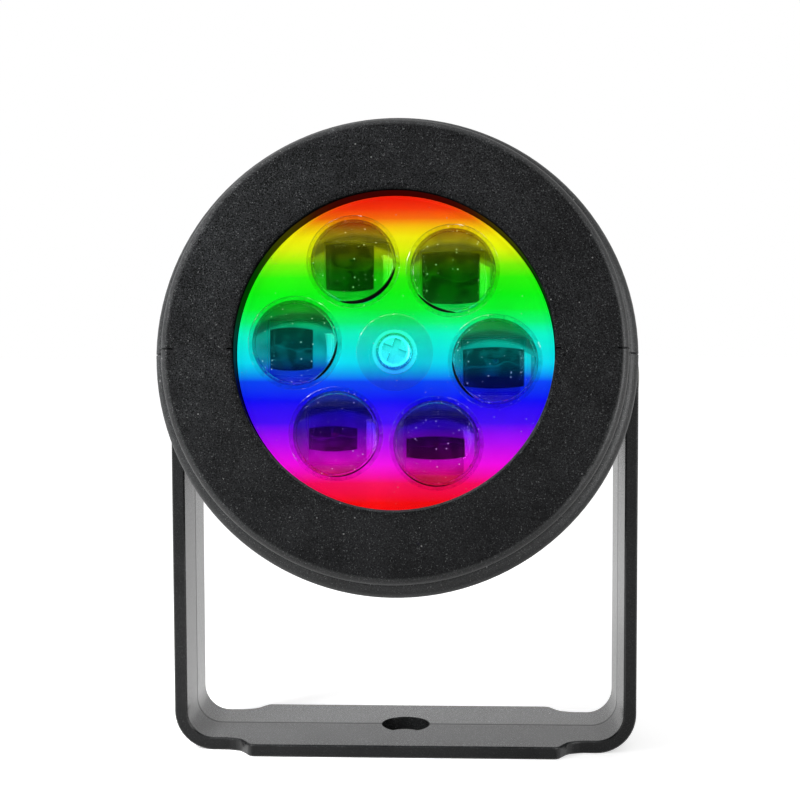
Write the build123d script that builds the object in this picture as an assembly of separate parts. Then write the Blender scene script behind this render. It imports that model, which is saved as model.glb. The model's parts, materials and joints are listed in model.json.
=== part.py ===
from build123d import *
import math
import os

# Rotating projection lamp: a round two-shell head tilts in a one-piece U bracket, and
# a lens plate with six lenses turns in the head's front.
# Millimetres. X is to the right of someone who faces the lamp, Y is away from them and Z is up.
# The origin is the middle of the foot, on the surface that the lamp stands on.

# Bracket
bracket_thickness = 3.2
leg_width = 24.0
foot_width = 33.8
flare_setback = 18.9        # outer face of a leg to the stretch of foot that has its full width
flare_length = 6.0          # along the foot, from its full width to the width of a leg
flare_steep_length = 2.8    # the steep stretch of it, next to the full width
flare_shallow_depth = 0.9   # what the rest of it still gains in width on each side
flare_outer_round = 2.0     # where the full width turns into the steep stretch
flare_inner_round = 3.5
flare_end_round = 6.0
outer_corner_radius = 9.5
draft_angle = 0.7           # degrees, both ways from the parting line on the bracket's middle
bracket_edge_round = 0.35
pivot_height = 89.8         # foot's underside to the tilt axis
key_hole_radius = 6.0       # hole in the foot for the keyed stud of a stake or clamp
key_bump_radius = 4.4
key_bump_reach = 4.2        # middle of the hole to the crest of its key

# Head casing, as stations along its axis ahead of the tilt axis
head_tilt = 7.5             # degrees that the head looks up at rest
face_station = 63.0
shoulder_station = 53.5
taper_station = -20.0
rear_station = -50.0
barrel_radius = 50.0
shoulder_width = 3.2        # barrel's outside to the front ring's
rear_inset = 7.0            # barrel's outside to the rear wall's rim
ring_round = 2.0
shoulder_round = 2.5
taper_round = 40.0
rear_round = 6.0
rim_radius = 31.95          # recess wall at the face
recess_radius = 32.9        # recess wall at the ledge
rim_round = 0.6
casing_wall = 2.6
tube_wall = 2.2
ledge_depth = 1.7           # how far the ledge behind the lens plate stands in from the recess wall
rib_depth = 3.0
rib_thickness = 2.0
seam_gap = 0.3
seam_depth = 0.35
seam_edge_reach = 2.6       # how far the shadow line of the seam runs in from the ring's outside
seam_rim_reach = 1.4        # and how far it runs out from the recess
lip_height = 1.2
lip_wall_share = 0.45       # share of the wall that the lip at the seam takes
lip_clearance = 0.1

# Vent slots in the rear wall
vent_count = 5
vent_pitch = 8.0
vent_width = 2.4
vent_length = 14.0
vent_height = 19.0          # middle of a row of slots above or below the seam

# Lens plate and what turns with it
plate_depth = 6.5           # face of the ring to the face of the lens plate
plate_thickness = 2.3
plate_gap = 0.4             # running gap round the lens plate
dish_radius = 7.8
dish_depth = 0.6
lens_count = 6
first_lens_angle = -5.4     # degrees, seen from the front, from +X towards up
lens_pitch_radius = 20.45
lens_radius = 8.7
lens_rise = 3.0
flange_width = 0.9
flange_thickness = 1.0
lens_clearance = 0.05
hub_radius = 7.8
hub_flange_thickness = 0.5
hub_boss_radius = 5.5
hub_length = 4.6
shaft_radius = 3.0
shaft_flat_depth = 0.6
shaft_depth = 0.2           # end of the shaft behind the back of the lens plate
washer_radius = 4.55
washer_thickness = 0.8
centre_screw_radius = 2.0
centre_screw_length = 10.0
centre_head_radius = 3.75
centre_head_height = 2.4
centre_recess_angle = -21.0
recess_width_share = 0.36   # width of a cross recess arm as a share of its screw head's radius
recess_span_share = 1.32    # span of a cross recess as a share of its screw head's radius
recess_depth_share = 0.55   # depth of a cross recess as a share of its screw head's height
head_round_share = 0.6      # rounding of a screw head's rim as a share of its height

# Diffuser and inner frame
diffuser_gap = 0.8          # back of the lens plate to the diffuser
diffuser_thickness = 0.6
diffuser_clearance = 0.2
diffuser_hole_clearance = 0.6
aperture_radius = 8.4       # round hole in the diffuser behind each lens
window_width = 8.0
window_height = 6.8
frame_gap = 4.3             # ledge to the inner frame
frame_thickness = 2.5
frame_clearance = 0.3
slide_width = 9.2
slide_height = 8.0
slide_thickness = 1.1
slide_pocket_depth = 0.6
slide_clearance = 0.1
post_radius = 3.2
post_length = 6.5
post_circle_radius = 31.3
post_count = 3

# Gear motor
gearbox_radius = 12.2
gearbox_length = 19.0
gearbox_floor = 1.0         # wall behind the shaft's bore
gearbox_boss_radius = 4.6
gearbox_boss_length = 2.3
can_radius = 12.0
can_length = 28.0
can_round = 1.0
can_boss_radius = 5.0
can_boss_length = 2.0
terminal_width = 2.8
terminal_thickness = 0.6
terminal_length = 5.0
terminal_spacing = 15.0
motor_screw_spacing = 17.0
motor_screw_length = 8.0
running_clearance = 0.05
fit_clearance = 0.1

# Light engine
stack_radius = 34.0
holder_thickness = 2.0
cup_radius = 7.3
cup_wall = 0.8
cup_length = 8.5
cup_lip = 0.9
cup_lip_height = 1.5
condenser_clearance = 0.1
condenser_edge = 3.0
condenser_rise = 2.4
bore_clearance = 0.6        # round the motor, where the light engine is slipped over it
spacer_radius = 2.9
spacer_length = 13.5
board_radius = 28.0
board_thickness = 1.5
led_side = 3.5
led_thickness = 0.8
led_dome_radius = 1.3
sink_thickness = 4.0
fin_count = 20
fin_depth = 11.0
fin_thickness = 1.3
fin_hub_gap = 1.6

# Screws of 3 mm
m3_radius = 1.5
m3_head_radius = 2.75
m3_head_height = 2.0
m3_clearance = 0.15
thread_clearance = 0.02

# Casing screws and their bosses
front_boss_gap = 0.8        # light engine to a front boss
front_boss_station = 31.0
rear_boss_gap = 0.9         # driver board to the sleeve of a sunk screw
rear_boss_station = -29.0
boss_radius = 3.4
boss_cover = 1.5            # wall round the sunk screw heads
head_shelf = 9.0            # seam to the shelf that a screw head bears on
casing_screw_length = 17.0
head_clearance = 0.35

# Pivots
pad_radius = 8.5
pad_height = 0.3            # flat pad above the barrel
friction_washer_radius = 7.6
friction_washer_thickness = 2.1
pivot_screw_radius = 2.0
pivot_screw_length = 12.0
pivot_head_radius = 3.9
pivot_head_height = 1.4     # low heads, which the casing hides from the front
pivot_clearance = 0.08
nut_across_flats = 7.0
nut_thickness = 3.2
nut_clearance = 0.1
nut_boss_radius = 6.6
nut_setback = 3.4           # pad to the floor of the nut's pocket
nut_boss_cover = 0.3        # how far the boss goes past the nut

# Driver board
driver_width = 56.0
driver_length = 34.0
driver_thickness = 1.6
driver_front = -9.0
driver_height = 30.0        # bottom of the barrel to the top of the driver board
driver_post_inset = 4.0
driver_post_radius = 3.0
driver_screw_length = 6.0
capacitor_radius = 5.0
capacitor_height = 12.0
capacitor_inset = 12.0      # side edge of the board to the capacitors
capacitor_setback = 8.0     # front edge of the board to the first capacitor
capacitor_spacing = 13.0
coil_radius = 6.0
coil_core_radius = 3.4
coil_flange = 1.0
coil_height = 8.0
coil_offset = 1.0
coil_setback = 9.0
chip_width = 6.0
chip_length = 5.0
chip_thickness = 1.6
chip_offset = 1.0
chip_setback = 21.0
chip_spacing = 8.0
socket_width = 7.5
socket_length = 6.0
socket_height = 6.5
socket_wall = 0.9
socket_inset = 11.0
socket_setback = 7.0
socket_spacing = 18.0

# Power inlet
inlet_thread_radius = 4.0
inlet_thread_length = 11.0
inlet_flange_radius = 6.6
inlet_flange_thickness = 1.8
inlet_bore_radius = 2.8
inlet_bore_depth = 10.0
inlet_pin_radius = 1.05
inlet_nut_across_flats = 11.0
inlet_nut_thickness = 2.4

overrun = 1.0

# Worked out from the sizes above
full_turn = 360.0
right_angle = 90.0
ring_radius = barrel_radius - shoulder_width
rear_radius = barrel_radius - rear_inset
pad_station = barrel_radius + pad_height
inner_half_width = pad_station + friction_washer_thickness
outer_half_width = inner_half_width + bracket_thickness
foot_full_half_length = outer_half_width - flare_setback
plate_front = face_station - plate_depth
plate_back = plate_front - plate_thickness
diffuser_front = plate_back - diffuser_gap
ledge_station = diffuser_front - diffuser_thickness
frame_front = ledge_station - frame_gap
frame_back = frame_front - frame_thickness
ledge_radius = recess_radius - ledge_depth
tube_outer_radius = recess_radius + tube_wall
barrel_inner_radius = barrel_radius - casing_wall
gearbox_back = frame_back - gearbox_length
can_back = gearbox_back - can_length
holder_front = frame_back - post_length
holder_back = holder_front - holder_thickness
sink_front = holder_back - spacer_length
sink_back = sink_front - sink_thickness
board_front = sink_front + board_thickness
motor_opening = gearbox_radius + bore_clearance
dish_floor = plate_front - dish_depth
washer_front = dish_floor + washer_thickness
shaft_front = plate_back - shaft_depth
nut_floor = pad_station - nut_setback
nut_boss_inner = nut_floor - nut_thickness - nut_boss_cover
sleeve_radius = m3_head_radius + head_clearance + boss_cover
front_boss_offset = stack_radius + front_boss_gap + boss_radius
rear_boss_offset = driver_width / 2 + rear_boss_gap + sleeve_radius
driver_top = driver_height - barrel_radius
driver_bottom = driver_top - driver_thickness
driver_middle = driver_front - driver_length / 2
lens_angles = [first_lens_angle + full_turn * n / lens_count for n in range(lens_count)]
first_post_angle = first_lens_angle + full_turn / lens_count / 2
post_angles = [first_post_angle + full_turn * n / post_count for n in range(post_count)]

# The head is drawn looking along +Z, with Y up, and this placing lays it in the bracket.
in_bracket = Pos(Z=pivot_height) * Rot(X=right_angle - head_tilt)


def disc(radius, back, front):
    """A cylinder about the head's axis, from a back station to a front one."""
    return Pos(Z=(back + front) / 2) * Cylinder(radius, front - back)


def around(radius, angle):
    """The place at a radius and an angle about the head's axis."""
    turn = math.radians(angle)
    return Pos(radius * math.cos(turn), radius * math.sin(turn))


def rounded_face(points, rounds):
    """A face through the points on the XZ plane, with a rounding at each point that has one."""
    face = make_face(Plane.XZ * Polyline(*points, close=True))
    for (x, z), radius in zip(points, rounds):
        if radius > 0:
            corner = face.vertices().sort_by_distance((x, 0, z))[0]
            face = fillet(corner, radius)
    return face


def turned(points, rounds):
    """The solid that the rounded outline sweeps about the head's axis."""
    return revolve(rounded_face(points, rounds), Axis.Z, full_turn)


def recess_wall(station):
    """The radius of the recess at a station: it widens evenly from the face to the ledge."""
    depth_share = (face_station - station) / (face_station - ledge_station)
    return rim_radius + (recess_radius - rim_radius) * depth_share


def half_space(side):
    """A block that holds the upper (1) or the lower (-1) side of the seam."""
    reach = barrel_radius + overrun
    length = face_station - rear_station + 2 * overrun
    middle = (face_station + rear_station) / 2
    return Pos(0, side * reach / 2, middle) * Box(2 * reach, reach, length)


def outer_solid(skin):
    """The casing's outside as a solid, drawn in by a skin all over."""
    points = [
        (0, rear_station + skin),
        (rear_radius - skin, rear_station + skin),
        (barrel_radius - skin, taper_station),
        (barrel_radius - skin, shoulder_station - skin),
        (ring_radius - skin, shoulder_station - skin),
        (ring_radius - skin, face_station - skin),
        (0, face_station - skin),
    ]
    rounds = [
        0,
        rear_round - skin,
        taper_round - skin,
        shoulder_round - skin,
        0,
        ring_round - skin,
        0,
    ]
    return turned(points, rounds)


def casing_body():
    """Both shells as one turned wall, with the recess tube and the rib that holds the frame."""
    inner_ring = ring_radius - casing_wall
    inner_rear = rear_radius - casing_wall
    rib_radius = barrel_inner_radius - rib_depth
    rib_back = frame_back - rib_thickness
    points = [
        (0, rear_station),
        (rear_radius, rear_station),
        (barrel_radius, taper_station),
        (barrel_radius, shoulder_station),
        (ring_radius, shoulder_station),
        (ring_radius, face_station),
        (rim_radius, face_station),
        (recess_radius, ledge_station),
        (ledge_radius, ledge_station),
        (ledge_radius, frame_front),
        (tube_outer_radius, frame_front),
        (tube_outer_radius, face_station - casing_wall),
        (inner_ring, face_station - casing_wall),
        (inner_ring, shoulder_station - casing_wall),
        (barrel_inner_radius, shoulder_station - casing_wall),
        (barrel_inner_radius, frame_back),
        (rib_radius, frame_back),
        (rib_radius, rib_back),
        (barrel_inner_radius, rib_back),
        (barrel_inner_radius, taper_station),
        (inner_rear, rear_station + casing_wall),
        (0, rear_station + casing_wall),
    ]
    rounds = [0] * len(points)
    rounds[1] = rear_round
    rounds[2] = taper_round
    rounds[3] = shoulder_round
    rounds[5] = ring_round
    rounds[6] = rim_round
    rounds[19] = taper_round - casing_wall
    rounds[20] = rear_round - casing_wall
    return turned(points, rounds)


def pivot_boss(side):
    """The pad outside and the nut's boss inside at one end of the tilt axis."""
    pad_depth = pad_station - barrel_inner_radius
    boss_length = barrel_inner_radius - nut_boss_inner
    pad = Pos(X=pad_station - pad_depth / 2) * Rot(Y=right_angle) * Cylinder(pad_radius, pad_depth)
    boss = Rot(Y=right_angle) * Cylinder(nut_boss_radius, boss_length + casing_wall)
    boss = Pos(X=nut_boss_inner + (boss_length + casing_wall) / 2) * boss
    return Rot(Z=0 if side > 0 else full_turn / 2) * (pad + boss)


def pivot_cut(side):
    """The screw's hole and the nut's pocket at one end of the tilt axis."""
    length = pad_station - nut_boss_inner + 2 * overrun
    middle = (pad_station + nut_boss_inner) / 2
    hole = Pos(X=middle) * Rot(Y=right_angle) * Cylinder(pivot_screw_radius + fit_clearance, length)
    flat = nut_across_flats + 2 * nut_clearance
    hexagon = RegularPolygon(flat / 2, side_count=6, major_radius=False)
    depth = nut_floor - nut_boss_inner + overrun
    pocket = Pos(X=nut_floor - depth) * Rot(Y=right_angle) * extrude(hexagon, amount=depth)
    return Rot(Z=0 if side > 0 else full_turn / 2) * (hole + pocket)


def boss_places():
    """The side offset and the station of each casing screw."""
    return [
        (side * offset, station)
        for offset, station in (
            (front_boss_offset, front_boss_station),
            (rear_boss_offset, rear_boss_station),
        )
        for side in (-1, 1)
    ]


def column(x, station, radius, low, high):
    """An upright cylinder in the head, between two heights."""
    return Pos(x, (low + high) / 2, station) * Rot(X=right_angle) * Cylinder(radius, high - low)


def lip(grow):
    """The band inside the wall that laps the seam, drawn larger by a clearance."""
    outer = casing_wall * (1 - lip_wall_share) - grow
    band = outer_solid(outer) - outer_solid(casing_wall + grow)
    reach = 2 * (barrel_radius + overrun)
    length = face_station - rear_station
    middle = (face_station + rear_station) / 2
    height = lip_height + grow
    slab = Pos(0, -height / 2, middle) * Box(reach, height, length)
    front = disc(tube_outer_radius - grow, frame_back, face_station)
    return (band & slab) - front


def seam_groove():
    """The fine shadow line round the outside of the seam, which closes up across the front face."""
    band = outer_solid(0) - outer_solid(seam_depth)
    reach = 2 * (barrel_radius + overrun)
    length = face_station - rear_station + overrun
    middle = (face_station + rear_station) / 2
    closed = disc(ring_radius - seam_edge_reach, face_station - seam_depth, face_station + overrun)
    closed -= disc(rim_radius + seam_rim_reach, face_station - seam_depth, face_station + overrun)
    return (band & (Pos(Z=middle) * Box(reach, seam_gap, length))) - closed


def casing_cuts():
    """What is cut through both shells: pivots, power inlet and the seam's shadow line."""
    back = rear_station - overrun
    inlet = disc(inlet_thread_radius + fit_clearance, back, rear_station + casing_wall + overrun)
    return pivot_cut(1) + pivot_cut(-1) + inlet + seam_groove()


def vents(side):
    """A row of upright slots through the rear wall."""
    slot = Rot(Z=right_angle) * SlotOverall(vent_length, vent_width)
    depth = casing_wall + 2 * overrun
    cut = extrude(slot, amount=depth)
    first = -(vent_count - 1) / 2 * vent_pitch
    places = [Pos(first + n * vent_pitch, side * vent_height) for n in range(vent_count)]
    back = rear_station - overrun
    return Part() + [Pos(Z=back) * place * cut for place in places]


def upper_shell():
    """The upper shell: its bosses take the casing screws, and its lip laps the lower shell."""
    shell = (casing_body() + pivot_boss(1) + pivot_boss(-1)) & half_space(1)
    inside = outer_solid(casing_wall / 2)
    for x, station in boss_places():
        shell += column(x, station, boss_radius, 0, barrel_radius) & inside
    shell += lip(0)
    pilot = m3_radius + thread_clearance
    depth = casing_screw_length - head_shelf + overrun
    for x, station in boss_places():
        shell -= column(x, station, pilot, -overrun, depth)
    return shell - casing_cuts() - vents(1)


def lower_shell():
    """The lower shell, with sunk shelves for the screw heads and posts for the driver board."""
    shell = (casing_body() + pivot_boss(1) + pivot_boss(-1)) & half_space(-1)
    inside = outer_solid(casing_wall / 2)
    for x, station in boss_places():
        shell += column(x, station, boss_radius, -barrel_radius, 0) & inside
        shell += column(x, station, sleeve_radius, -barrel_radius, boss_cover - head_shelf) & inside
    for x, station in driver_post_places():
        shell += column(x, station, driver_post_radius, -barrel_radius, driver_bottom) & inside
    shell -= lip(lip_clearance)
    for x, station in boss_places():
        shell -= column(x, station, m3_radius + m3_clearance, -barrel_radius, overrun)
        shell -= column(x, station, m3_head_radius + head_clearance, -barrel_radius, -head_shelf)
    pilot = m3_radius + thread_clearance
    for x, station in driver_post_places():
        shell -= column(x, station, pilot, driver_bottom - driver_screw_length, driver_bottom + overrun)
    return shell - casing_cuts() - vents(-1)


def cross_recess(head_radius, head_height, top):
    """The cross cut into a screw head whose top is at a height on Z."""
    span = head_radius * recess_span_share
    width = head_radius * recess_width_share
    depth = head_height * recess_depth_share
    arm = Box(span, width, 2 * depth)
    return Pos(Z=top) * (arm + Rot(Z=right_angle) * arm)


def pan_screw(head_radius, head_height, radius, length):
    """A pan-head screw that points down -Z, with the seat of its head at the origin."""
    rim = head_height * head_round_share
    head = turned(
        [(0, 0), (head_radius, 0), (head_radius, head_height), (0, head_height)],
        [0, 0, rim, 0],
    )
    shank = Pos(Z=-length / 2) * Cylinder(radius, length)
    return head + shank - cross_recess(head_radius, head_height, head_height)


def m3_screw(length):
    """A pan-head screw of 3 mm that points down -Z."""
    return pan_screw(m3_head_radius, m3_head_height, m3_radius, length)


def casing_screws():
    """The four long screws that draw the shells together from below."""
    up = Rot(X=right_angle)
    screw = m3_screw(casing_screw_length)
    return [Pos(x, -head_shelf, station) * up * screw for x, station in boss_places()]


def hex_nut(across_flats, radius, thickness):
    """A plain hexagon nut that stands on the XY plane."""
    hexagon = RegularPolygon(across_flats / 2, side_count=6, major_radius=False)
    return extrude(hexagon - Circle(radius), amount=thickness)


def pivot_nuts():
    """The nuts trapped between the shells on the tilt axis."""
    nut = hex_nut(nut_across_flats, pivot_screw_radius + thread_clearance, nut_thickness)
    right = Pos(X=nut_floor - nut_thickness) * Rot(Y=right_angle) * nut
    return [right, Rot(Z=full_turn / 2) * right]


def pivot_screws():
    """The screws on which the head tilts, one through each leg."""
    screw = pan_screw(pivot_head_radius, pivot_head_height, pivot_screw_radius, pivot_screw_length)
    right = Pos(X=outer_half_width) * Rot(Y=right_angle) * screw
    return [right, Rot(Z=full_turn / 2) * right]


def friction_washers():
    """The soft washers between the casing's pads and the legs."""
    width = inner_half_width - pad_station
    washer = Cylinder(friction_washer_radius, width)
    washer -= Cylinder(pivot_screw_radius + fit_clearance, width + overrun)
    right = Pos(X=pad_station + width / 2) * Rot(Y=right_angle) * washer
    return [right, Rot(Z=full_turn / 2) * right]


def lens_plate():
    """The clear plate that turns, with a counterbored seat for each lens."""
    plate = disc(recess_wall(plate_front) - plate_gap, plate_back, plate_front)
    plate -= disc(dish_radius, dish_floor, plate_front + overrun)
    plate -= disc(centre_screw_radius + fit_clearance, plate_back - overrun, plate_front)
    seat_back = plate_front - flange_thickness
    for angle in lens_angles:
        place = around(lens_pitch_radius, angle)
        seat_radius = lens_radius + flange_width
        plate -= place * disc(seat_radius, seat_back, plate_front + overrun)
        plate -= place * disc(lens_radius - flange_width, plate_back - overrun, plate_front)
    return plate


def domed_lens(radius, edge_back, edge_front, rise):
    """A plano-convex lens: a short cylinder with a spherical front."""
    curve = ThreePointArc(
        (radius, edge_front),
        (radius / 2, edge_front + dome_height(radius, rise, radius / 2)),
        (0, edge_front + rise),
    )
    outline = Polyline((0, edge_front + rise), (0, edge_back), (radius, edge_back), (radius, edge_front))
    return revolve(make_face(Plane.XZ * (outline + curve)), Axis.Z, full_turn)


def dome_height(radius, rise, offset):
    """The height of a spherical cap at an offset from its axis, above the cap's rim."""
    sphere = (radius * radius + rise * rise) / (2 * rise)
    return math.sqrt(sphere * sphere - offset * offset) - (sphere - rise)


def projection_lenses():
    """The six lenses, each with the thin flange that sits in the plate."""
    flange_radius = lens_radius + flange_width - lens_clearance
    plug_radius = lens_radius - flange_width - lens_clearance
    flange_back = plate_front - flange_thickness
    lens = domed_lens(lens_radius, flange_back, plate_front, lens_rise)
    lens += disc(flange_radius, flange_back, plate_front)
    lens += disc(plug_radius, plate_back, flange_back)
    return [around(lens_pitch_radius, angle) * lens for angle in lens_angles]


def shaft_section(clearance):
    """The D section of the motor's shaft."""
    radius = shaft_radius + clearance
    flat = Pos(0, -shaft_flat_depth) * Rectangle(2 * radius, 2 * radius)
    return Circle(radius) & flat


def shaft_hub():
    """The hub behind the plate that the shaft drives through its flat."""
    flange_back = plate_back - hub_flange_thickness
    hub = disc(hub_radius, flange_back, plate_back)
    hub += disc(hub_boss_radius, plate_back - hub_length, flange_back)
    bore_back = plate_back - hub_length - overrun
    bore = extrude(shaft_section(thread_clearance), amount=shaft_front - bore_back)
    hub -= Pos(Z=bore_back) * bore
    return hub - disc(centre_screw_radius + fit_clearance, shaft_front, plate_back + overrun)


def output_shaft():
    """The gearbox's shaft: round in its bearing, with a flat in the hub and a tapped end."""
    shoulder = plate_back - hub_length
    shaft = disc(shaft_radius, gearbox_back + gearbox_floor, shoulder)
    shaft += Pos(Z=shoulder) * extrude(shaft_section(0), amount=shaft_front - shoulder)
    tap_back = washer_front - centre_screw_length - overrun
    return shaft - disc(centre_screw_radius + thread_clearance, tap_back, shaft_front + overrun)


def centre_screw():
    """The screw in the middle of the lens plate."""
    screw = pan_screw(
        centre_head_radius, centre_head_height, centre_screw_radius, centre_screw_length
    )
    return Pos(Z=washer_front) * Rot(Z=centre_recess_angle) * screw


def centre_washer():
    """The plain washer under the middle screw."""
    washer = disc(washer_radius, dish_floor, washer_front)
    return washer - disc(centre_screw_radius + fit_clearance, plate_back, washer_front + overrun)


def window_cut(back, front):
    """The oblong window behind every slide."""
    block = Pos(Z=(back + front) / 2) * Box(window_width, window_height, front - back)
    return Part() + [around(lens_pitch_radius, angle) * block for angle in lens_angles]


def diffuser():
    """The fixed glowing sheet behind the lens plate, with a round hole behind each lens."""
    radius = recess_wall(diffuser_front) - diffuser_clearance
    sheet = disc(radius, ledge_station, diffuser_front)
    sheet -= disc(hub_boss_radius + diffuser_hole_clearance, ledge_station - overrun, plate_back)
    for angle in lens_angles:
        place = around(lens_pitch_radius, angle)
        sheet -= place * disc(aperture_radius, ledge_station - overrun, plate_back)
    return sheet


def inner_frame():
    """The frame that the shells trap: it carries the motor, the slides and the light engine."""
    frame = disc(barrel_inner_radius - frame_clearance, frame_back, frame_front)
    for angle in post_angles:
        place = around(post_circle_radius, angle)
        frame += place * disc(post_radius, holder_front, frame_back)
        frame -= place * disc(m3_radius + thread_clearance, holder_front - overrun, frame_back)
    frame -= disc(gearbox_boss_radius + fit_clearance, frame_back - overrun, frame_front + overrun)
    frame -= window_cut(frame_back - overrun, frame_front + overrun)
    frame -= slide_blocks(slide_clearance, frame_front - slide_pocket_depth, frame_front + overrun)
    for side in (-1, 1):
        frame -= Pos(X=side * motor_screw_spacing / 2) * countersunk_screw(m3_clearance)
    for x, station in boss_places():
        frame -= column(x, station, boss_radius + frame_clearance, -barrel_radius, barrel_radius)
    return frame


def slide_blocks(clearance, back, front):
    """Six upright blocks the size of the slides, one behind each lens."""
    block = Box(slide_width + 2 * clearance, slide_height + 2 * clearance, front - back)
    block = Pos(Z=(back + front) / 2) * block
    return Part() + [around(lens_pitch_radius, angle) * block for angle in lens_angles]


def pattern_slides():
    """The glass slides that sit in the frame's pockets."""
    back = frame_front - slide_pocket_depth
    block = Pos(Z=back + slide_thickness / 2) * Box(slide_width, slide_height, slide_thickness)
    return [around(lens_pitch_radius, angle) * block for angle in lens_angles]


def countersunk_screw(clearance):
    """A flush screw from the frame's front into the gearbox, grown by a clearance."""
    cone = m3_head_radius - m3_radius
    radius = m3_radius + clearance
    head_radius = m3_head_radius + clearance
    points = [
        (0, frame_front),
        (head_radius, frame_front),
        (radius, frame_front - cone),
        (radius, frame_front - motor_screw_length),
        (0, frame_front - motor_screw_length),
    ]
    return turned(points, [0] * len(points))


def motor_screws():
    """The two flush screws that hold the gear motor to the frame."""
    screw = countersunk_screw(0)
    cut = cross_recess(m3_head_radius, m3_head_height, frame_front)
    return [Pos(X=side * motor_screw_spacing / 2) * (screw - cut) for side in (-1, 1)]


def gearbox():
    """The gear motor's round gearbox, with its bearing boss in the frame."""
    box = disc(gearbox_radius, gearbox_back, frame_back)
    box += disc(gearbox_boss_radius, frame_back, frame_back + gearbox_boss_length)
    bore_front = frame_front + overrun
    box -= disc(shaft_radius + running_clearance, gearbox_back + gearbox_floor, bore_front)
    tap_back = frame_front - motor_screw_length - overrun
    tap = disc(m3_radius + thread_clearance, tap_back, frame_front)
    for side in (-1, 1):
        box -= Pos(X=side * motor_screw_spacing / 2) * tap
    return box


def motor_can():
    """The motor behind the gearbox."""
    can = disc(can_radius, can_back, gearbox_back)
    can = fillet(can.edges().filter_by(GeomType.CIRCLE).sort_by(Axis.Z)[0], can_round)
    return can + disc(can_boss_radius, can_back - can_boss_length, can_back)


def motor_terminals():
    """The motor's two tab terminals."""
    tab = Box(terminal_width, terminal_thickness, terminal_length)
    middle = can_back - terminal_length / 2
    return [Pos(side * terminal_spacing / 2, 0, middle) * tab for side in (-1, 1)]


def condenser_holder():
    """The moulded plate whose cups hold the condenser lenses over the LEDs."""
    holder = disc(stack_radius, holder_back, holder_front)
    cup_back = holder_back - cup_length
    for angle in lens_angles:
        holder += around(lens_pitch_radius, angle) * disc(cup_radius, cup_back, holder_back)
    for angle in lens_angles:
        place = around(lens_pitch_radius, angle)
        bore = cup_radius - cup_wall
        holder -= place * disc(bore - cup_lip, cup_back - overrun, holder_front)
        holder -= place * disc(bore, cup_back + cup_lip_height, holder_front + overrun)
    holder -= disc(motor_opening, cup_back - overrun, holder_front + overrun)
    return holder - post_holes(holder_back, holder_front)


def post_holes(back, front):
    """Clearance holes for the long screws of the light engine."""
    hole = disc(m3_radius + m3_clearance, back - overrun, front + overrun)
    return Part() + [around(post_circle_radius, angle) * hole for angle in post_angles]


def condenser_lenses():
    """The lenses that gather each LED's light onto its slide."""
    radius = cup_radius - cup_wall - condenser_clearance
    back = holder_back - cup_length + cup_lip_height
    lens = domed_lens(radius, back, back + condenser_edge, condenser_rise)
    return [around(lens_pitch_radius, angle) * lens for angle in lens_angles]


def spacers():
    """The tubes that set the heat sink behind the condenser holder."""
    tube = disc(spacer_radius, sink_front, holder_back)
    tube -= disc(m3_radius + m3_clearance, sink_front - overrun, holder_back + overrun)
    return [around(post_circle_radius, angle) * tube for angle in post_angles]


def led_board():
    """The ring-shaped circuit board that carries the LEDs."""
    board = disc(board_radius, sink_front, board_front)
    return board - disc(motor_opening, sink_front - overrun, board_front + overrun)


def leds():
    """Six power LEDs, each a small base with a clear dome."""
    base = Pos(Z=board_front + led_thickness / 2) * Box(led_side, led_side, led_thickness)
    dome = domed_lens(
        led_dome_radius, board_front + led_thickness / 2, board_front + led_thickness, led_dome_radius / 2
    )
    return [around(lens_pitch_radius, angle) * (base + dome) for angle in lens_angles]


def heat_sink():
    """The finned plate behind the LED board."""
    sink = disc(stack_radius, sink_back, sink_front)
    fin_inner = motor_opening + fin_hub_gap
    fin_length = stack_radius - fin_inner
    fin_back = sink_back - fin_depth
    middle = (sink_back + fin_back) / 2
    fin = Pos(fin_inner + fin_length / 2, 0, middle) * Box(fin_length, fin_thickness, fin_depth)
    step = full_turn / fin_count
    sink += [Rot(Z=(n + 1 / 2) * step) * fin for n in range(fin_count)]
    sink &= disc(stack_radius, fin_back, sink_front)
    pad = disc(m3_head_radius + head_clearance, fin_back - overrun, sink_back)
    sink -= [around(post_circle_radius, angle) * pad for angle in post_angles]
    sink -= disc(motor_opening, fin_back - overrun, sink_front + overrun)
    return sink - post_holes(sink_back, sink_front)


def stack_screws():
    """The long screws that clamp the light engine to the frame's posts."""
    length = frame_back - sink_back - overrun
    screw = Pos(Z=sink_back) * Rot(X=full_turn / 2) * m3_screw(length)
    return [around(post_circle_radius, angle) * screw for angle in post_angles]


def driver_post_places():
    """The side offset and the station of each post under the driver board."""
    x = driver_width / 2 - driver_post_inset
    front = driver_front - driver_post_inset
    back = driver_front - driver_length + driver_post_inset
    return [(side * x, station) for station in (front, back) for side in (-1, 1)]


def driver_board():
    """The circuit board that feeds the motor and the LEDs."""
    middle = (driver_top + driver_bottom) / 2
    board = Pos(0, middle, driver_middle) * Box(driver_width, driver_thickness, driver_length)
    for x, station in driver_post_places():
        board -= column(x, station, m3_radius + m3_clearance, driver_bottom - overrun, driver_top + overrun)
    return board


def driver_screws():
    """The screws of the driver board."""
    screw = Rot(X=-right_angle) * m3_screw(driver_screw_length)
    return [Pos(x, driver_top, station) * screw for x, station in driver_post_places()]


def board_stations(setback, spacing):
    """Two stations on the driver board, counted back from its front edge."""
    first = driver_front - setback
    return (first, first - spacing)


def capacitors():
    """Two upright capacitors on the driver board."""
    top = driver_top + capacitor_height
    x = capacitor_inset - driver_width / 2
    return [
        column(x, station, capacitor_radius, driver_top, top)
        for station in board_stations(capacitor_setback, capacitor_spacing)
    ]


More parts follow.
